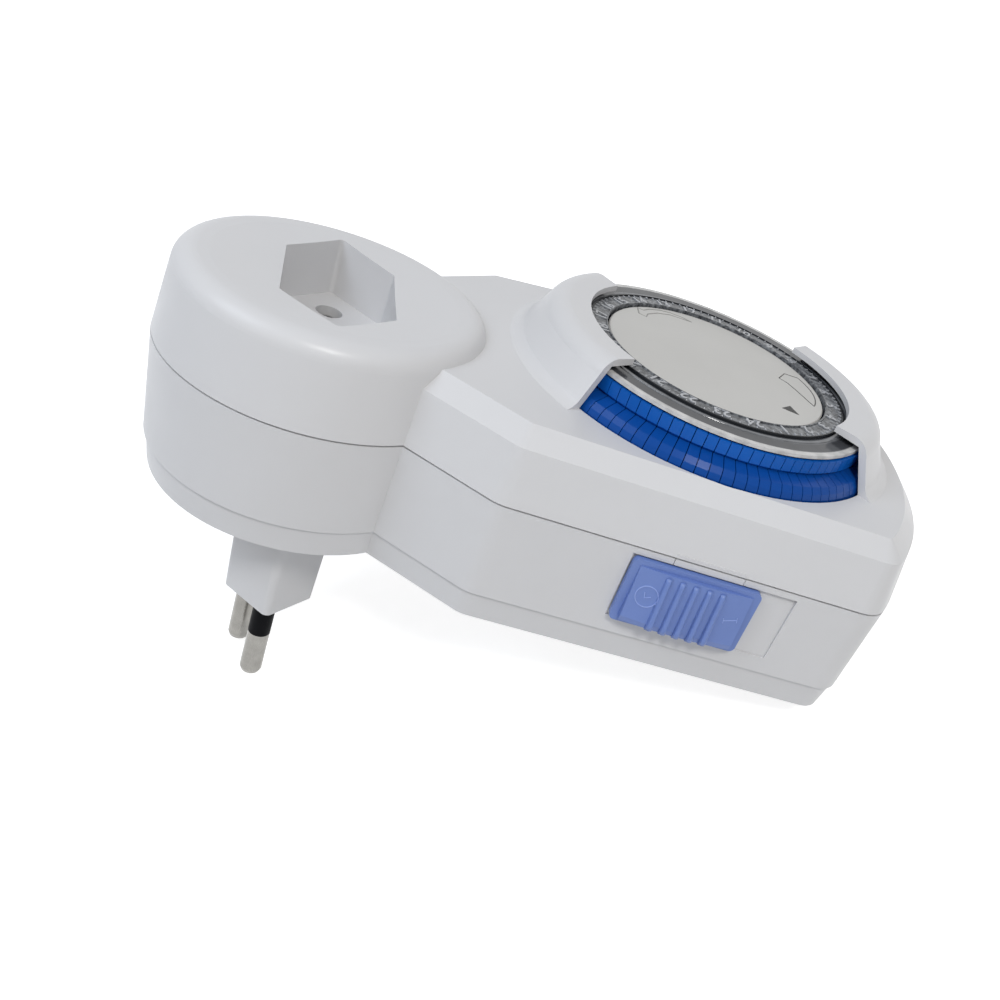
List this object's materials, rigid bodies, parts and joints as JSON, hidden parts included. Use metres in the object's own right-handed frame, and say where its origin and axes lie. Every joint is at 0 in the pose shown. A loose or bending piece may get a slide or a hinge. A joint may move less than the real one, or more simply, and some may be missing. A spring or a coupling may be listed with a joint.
{
  "type": "plug-in timer switch",
  "caption": "Mechanical 24-hour plug-in timer switch: keyhole-shaped white housing, pass-through socket, three-pin plug, blue ring of trip segments and a side slide switch.",
  "frame": {"origin": "centre of the plug's end face, midway between the live and neutral pins", "axes": "+Z out of the wall towards the dial, +X from the socket to the dial, -Y the side with the slide switch"},
  "size_m": [0.1388, 0.0884, 0.0842],
  "materials": {
    "housing_plastic": "satin",
    "white_plastic": "satin",
    "blue_plastic": "satin",
    "knob_plastic": "satin",
    "black_plastic": "satin",
    "clear_plastic": "clear moulded",
    "nickel_brass": "satin plated",
    "brass": "stamped",
    "steel": "zinc plated"
  },
  "bodies": {
    "housing": {"front_shell": "housing_plastic", "back_shell": "housing_plastic", "housing_screws": "steel", "plate_screws": "steel", "live_pin": "nickel_brass", "neutral_pin": "nickel_brass", "earth_pin": "nickel_brass", "live_sleeve": "black_plastic", "neutral_sleeve": "black_plastic", "live_contact": "brass", "neutral_contact": "brass", "earth_contact": "brass", "live_feed_strip": "brass", "switched_live_strip": "brass", "neutral_strip": "brass", "gear_plate": "black_plastic", "motor_body": "steel", "transfer_axle": "steel", "dial_axle": "white_plastic", "centre_disc": "white_plastic", "snap_switch": "black_plastic", "slide_contacts": "brass"},
    "dial": {"dial_drum": "blue_plastic", "dial_ring": "clear_plastic"},
    "transfer_gear": {"transfer_gear": "white_plastic"},
    "motor_rotor": {"motor_pinion": "brass"},
    "mode_slider": {"mode_slider": "knob_plastic", "slide_bridge": "brass"},
    "trip_lever": {"trip_lever": "white_plastic"},
    "switch_plunger": {"switch_plunger": "knob_plastic"},
    "hour_00": {"segments_00": "blue_plastic"},
    "hour_01": {"segments_01": "blue_plastic"},
    "hour_02": {"segments_02": "blue_plastic"},
    "hour_03": {"segments_03": "blue_plastic"},
    "hour_04": {"segments_04": "blue_plastic"},
    "hour_05": {"segments_05": "blue_plastic"},
    "hour_06": {"segments_06": "blue_plastic"},
    "hour_07": {"segments_07": "blue_plastic"},
    "hour_08": {"segments_08": "blue_plastic"},
    "hour_09": {"segments_09": "blue_plastic"},
    "hour_10": {"segments_10": "blue_plastic"},
    "hour_11": {"segments_11": "blue_plastic"},
    "hour_12": {"segments_12": "blue_plastic"},
    "hour_13": {"segments_13": "blue_plastic"},
    "hour_14": {"segments_14": "blue_plastic"},
    "hour_15": {"segments_15": "blue_plastic"},
    "hour_16": {"segments_16": "blue_plastic"},
    "hour_17": {"segments_17": "blue_plastic"},
    "hour_18": {"segments_18": "blue_plastic"},
    "hour_19": {"segments_19": "blue_plastic"},
    "hour_20": {"segments_20": "blue_plastic"},
    "hour_21": {"segments_21": "blue_plastic"},
    "hour_22": {"segments_22": "blue_plastic"},
    "hour_23": {"segments_23": "blue_plastic"}
  },
  "joints": [
    {"name": "dial_spin", "type": "hinge", "parent": "housing", "child": "dial", "pos_m": [0.0675, 0, 0.05], "axis": [0, 0, -1], "continuous": true},
    {"name": "mode_slide", "type": "slide", "parent": "housing", "child": "mode_slider", "axis": [0.9881, -0.1537, 0], "range_m": [0, 0.006]},
    {"name": "transfer_spin", "type": "hinge", "parent": "housing", "child": "transfer_gear", "pos_m": [0.04048, 0.0156, 0.042], "axis": [0, 0, -1], "continuous": true},
    {"name": "motor_spin", "type": "hinge", "parent": "housing", "child": "motor_rotor", "pos_m": [0.05409, 0.02029, 0.04], "axis": [0, 0, -1], "continuous": true},
    {"name": "segments_00_press", "type": "slide", "parent": "dial", "child": "hour_00", "axis": [0, 0, -1], "range_m": [0, 0.003]},
    {"name": "segments_01_press", "type": "slide", "parent": "dial", "child": "hour_01", "axis": [0, 0, -1], "range_m": [0, 0.003]},
    {"name": "segments_02_press", "type": "slide", "parent": "dial", "child": "hour_02", "axis": [0, 0, -1], "range_m": [0, 0.003]},
    {"name": "segments_03_press", "type": "slide", "parent": "dial", "child": "hour_03", "axis": [0, 0, -1], "range_m": [0, 0.003]},
    {"name": "segments_04_press", "type": "slide", "parent": "dial", "child": "hour_04", "axis": [0, 0, -1], "range_m": [0, 0.003]},
    {"name": "segments_05_press", "type": "slide", "parent": "dial", "child": "hour_05", "axis": [0, 0, -1], "range_m": [0, 0.003]},
    {"name": "segments_06_press", "type": "slide", "parent": "dial", "child": "hour_06", "axis": [0, 0, -1], "range_m": [0, 0.003]},
    {"name": "segments_07_press", "type": "slide", "parent": "dial", "child": "hour_07", "axis": [0, 0, -1], "range_m": [0, 0.003]},
    {"name": "segments_08_press", "type": "slide", "parent": "dial", "child": "hour_08", "axis": [0, 0, -1], "range_m": [0, 0.003]},
    {"name": "segments_09_press", "type": "slide", "parent": "dial", "child": "hour_09", "axis": [0, 0, -1], "range_m": [0, 0.003]},
    {"name": "segments_10_press", "type": "slide", "parent": "dial", "child": "hour_10", "axis": [0, 0, -1], "range_m": [0, 0.003]},
    {"name": "segments_11_press", "type": "slide", "parent": "dial", "child": "hour_11", "axis": [0, 0, -1], "range_m": [0, 0.003]},
    {"name": "segments_12_press", "type": "slide", "parent": "dial", "child": "hour_12", "axis": [0, 0, -1], "range_m": [0, 0.003]},
    {"name": "segments_13_press", "type": "slide", "parent": "dial", "child": "hour_13", "axis": [0, 0, -1], "range_m": [0, 0.003]},
    {"name": "segments_14_press", "type": "slide", "parent": "dial", "child": "hour_14", "axis": [0, 0, -1], "range_m": [0, 0.003]},
    {"name": "segments_15_press", "type": "slide", "parent": "dial", "child": "hour_15", "axis": [0, 0, -1], "range_m": [0, 0.003]},
    {"name": "segments_16_press", "type": "slide", "parent": "dial", "child": "hour_16", "axis": [0, 0, -1], "range_m": [0, 0.003]},
    {"name": "segments_17_press", "type": "slide", "parent": "dial", "child": "hour_17", "axis": [0, 0, -1], "range_m": [0, 0.003]},
    {"name": "segments_18_press", "type": "slide", "parent": "dial", "child": "hour_18", "axis": [0, 0, -1], "range_m": [0, 0.003]},
    {"name": "segments_19_press", "type": "slide", "parent": "dial", "child": "hour_19", "axis": [0, 0, -1], "range_m": [0, 0.003]},
    {"name": "segments_20_press", "type": "slide", "parent": "dial", "child": "hour_20", "axis": [0, 0, -1], "range_m": [0, 0.003]},
    {"name": "segments_21_press", "type": "slide", "parent": "dial", "child": "hour_21", "axis": [0, 0, -1], "range_m": [0, 0.003]},
    {"name": "segments_22_press", "type": "slide", "parent": "dial", "child": "hour_22", "axis": [0, 0, -1], "range_m": [0, 0.003]},
    {"name": "segments_23_press", "type": "slide", "parent": "dial", "child": "hour_23", "axis": [0, 0, -1], "range_m": [0, 0.003]},
    {"name": "lever_swing", "type": "hinge", "parent": "housing", "child": "trip_lever", "pos_m": [0.046, -0.02965, 0.043], "axis": [0, 1, 0], "range_deg": [0, 6.5]},
    {"name": "plunger_press", "type": "slide", "parent": "housing", "child": "switch_plunger", "axis": [0, 0, -1], "range_m": [0, 0.0012]}
  ],
  "couplings": [
    {"joint": "transfer_spin", "follows": "dial_spin", "ratio": -5.5},
    {"joint": "motor_spin", "follows": "dial_spin", "ratio": 16.5},
    {"joint": "lever_swing", "follows": "segments_00_press", "rad_per_m": 29.67},
    {"joint": "plunger_press", "follows": "segments_00_press", "ratio": 0.2967}
  ]
}
